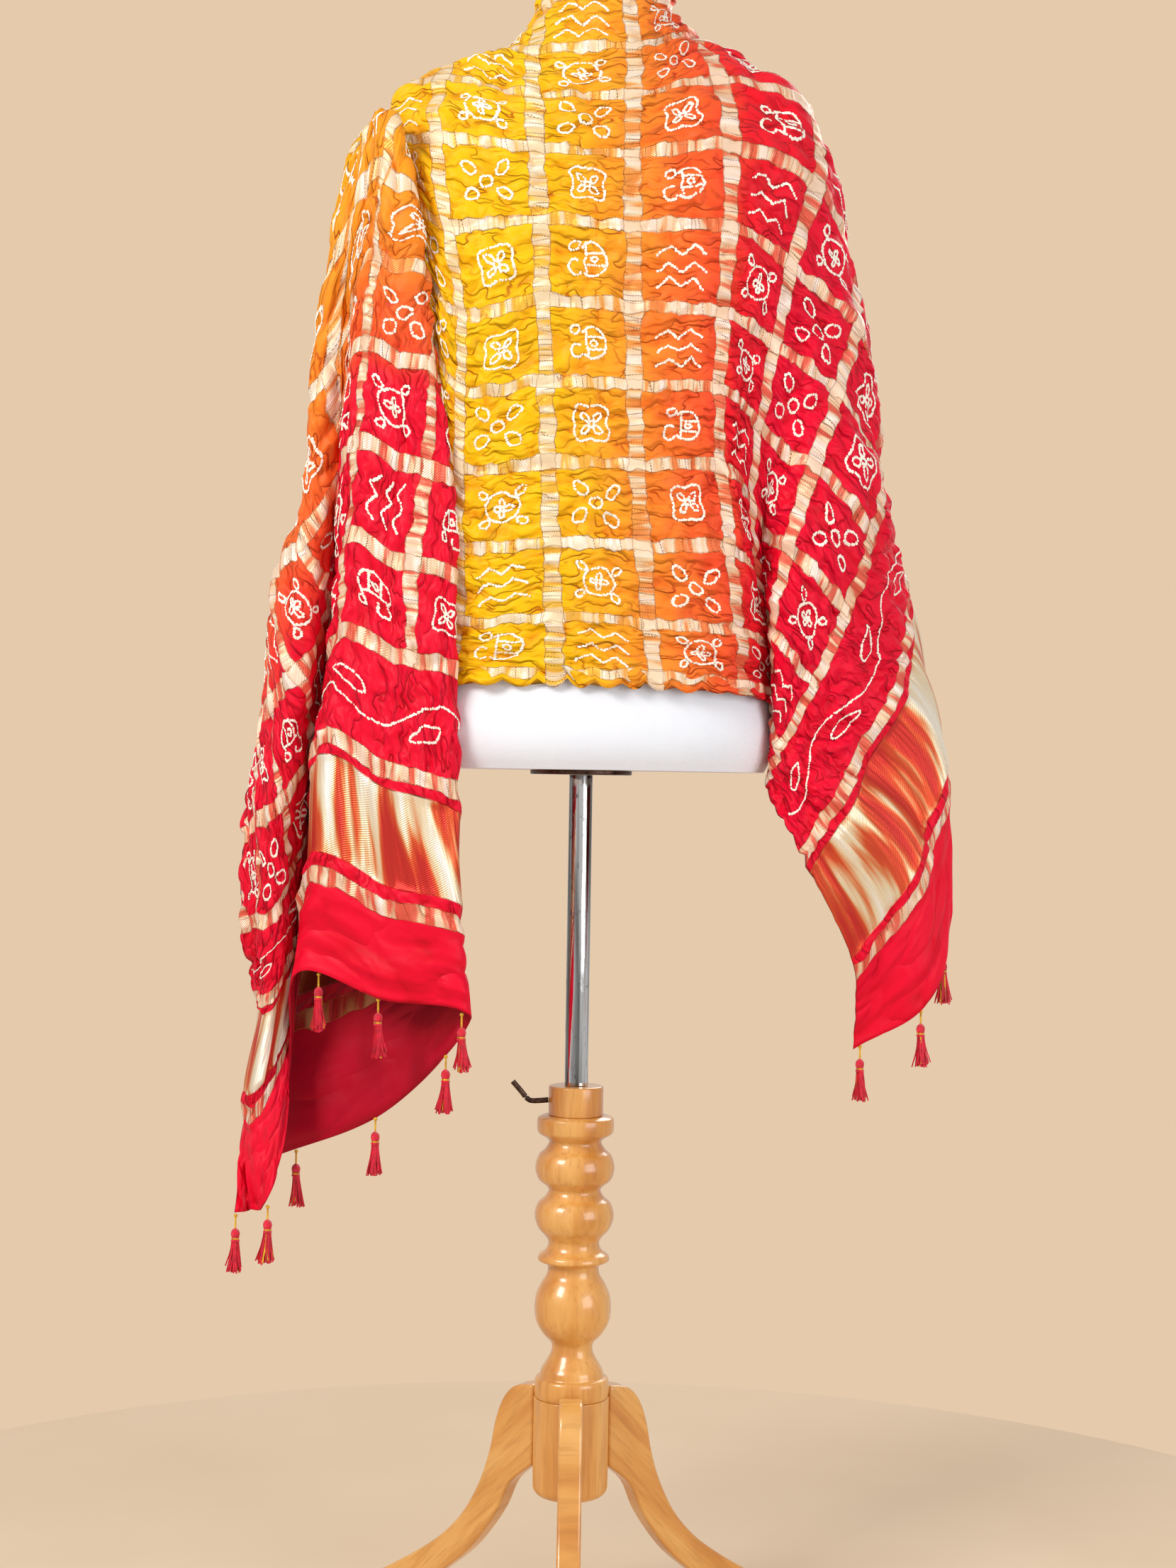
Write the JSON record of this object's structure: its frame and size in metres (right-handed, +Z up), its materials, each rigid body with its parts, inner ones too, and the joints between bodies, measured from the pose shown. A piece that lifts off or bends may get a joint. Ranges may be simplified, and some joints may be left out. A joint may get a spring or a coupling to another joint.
{
  "type": "bandhani cloth draped on a dress form with a wooden tripod stand",
  "caption": "Crinkled yellow, orange and crimson bandhani shawl with gold bands and tasselled ends, draped on a white dress form on a turned wooden tripod stand.",
  "frame": {"origin": "on the floor, under the middle of the whole object's box", "axes": "+Z up; the form's back, which carries the shawl's face, looks along -Y; +X is to the right of someone who looks at it"},
  "size_m": [0.6828, 0.426, 1.5843],
  "materials": {
    "silk": "crinkled tie-dyed silk with woven metallic bands",
    "tassel_thread": "crimson and yellow twisted thread",
    "form_cover": "smooth white knit stretched over padding",
    "honey_wood": "clear varnished honey-coloured hardwood",
    "bright_steel": "bright plated tube",
    "dark_bronze": "dark bronze finish"
  },
  "bodies": {
    "root": {"cloth": "silk", "form_torso": "form_cover", "form_cap": "form_cover", "form_base": "dark_bronze", "pole": "bright_steel", "pole_collar": "honey_wood", "clamp_lever": "dark_bronze", "column": "honey_wood", "hub": "honey_wood", "leg_front": "honey_wood", "leg_left": "honey_wood", "leg_right": "honey_wood", "tassel_l_01": "tassel_thread", "tassel_l_02": "tassel_thread", "tassel_l_03": "tassel_thread", "tassel_l_04": "tassel_thread", "tassel_l_05": "tassel_thread", "tassel_l_06": "tassel_thread", "tassel_l_07": "tassel_thread", "tassel_l_08": "tassel_thread", "tassel_r_01": "tassel_thread", "tassel_r_02": "tassel_thread", "tassel_r_03": "tassel_thread", "tassel_r_04": "tassel_thread", "tassel_r_05": "tassel_thread", "tassel_r_06": "tassel_thread", "tassel_r_07": "tassel_thread", "tassel_r_08": "tassel_thread", "tassel_r_09": "tassel_thread", "tassel_r_10": "tassel_thread", "tassel_r_11": "tassel_thread", "tassel_r_12": "tassel_thread"}
  },
  "joints": []
}
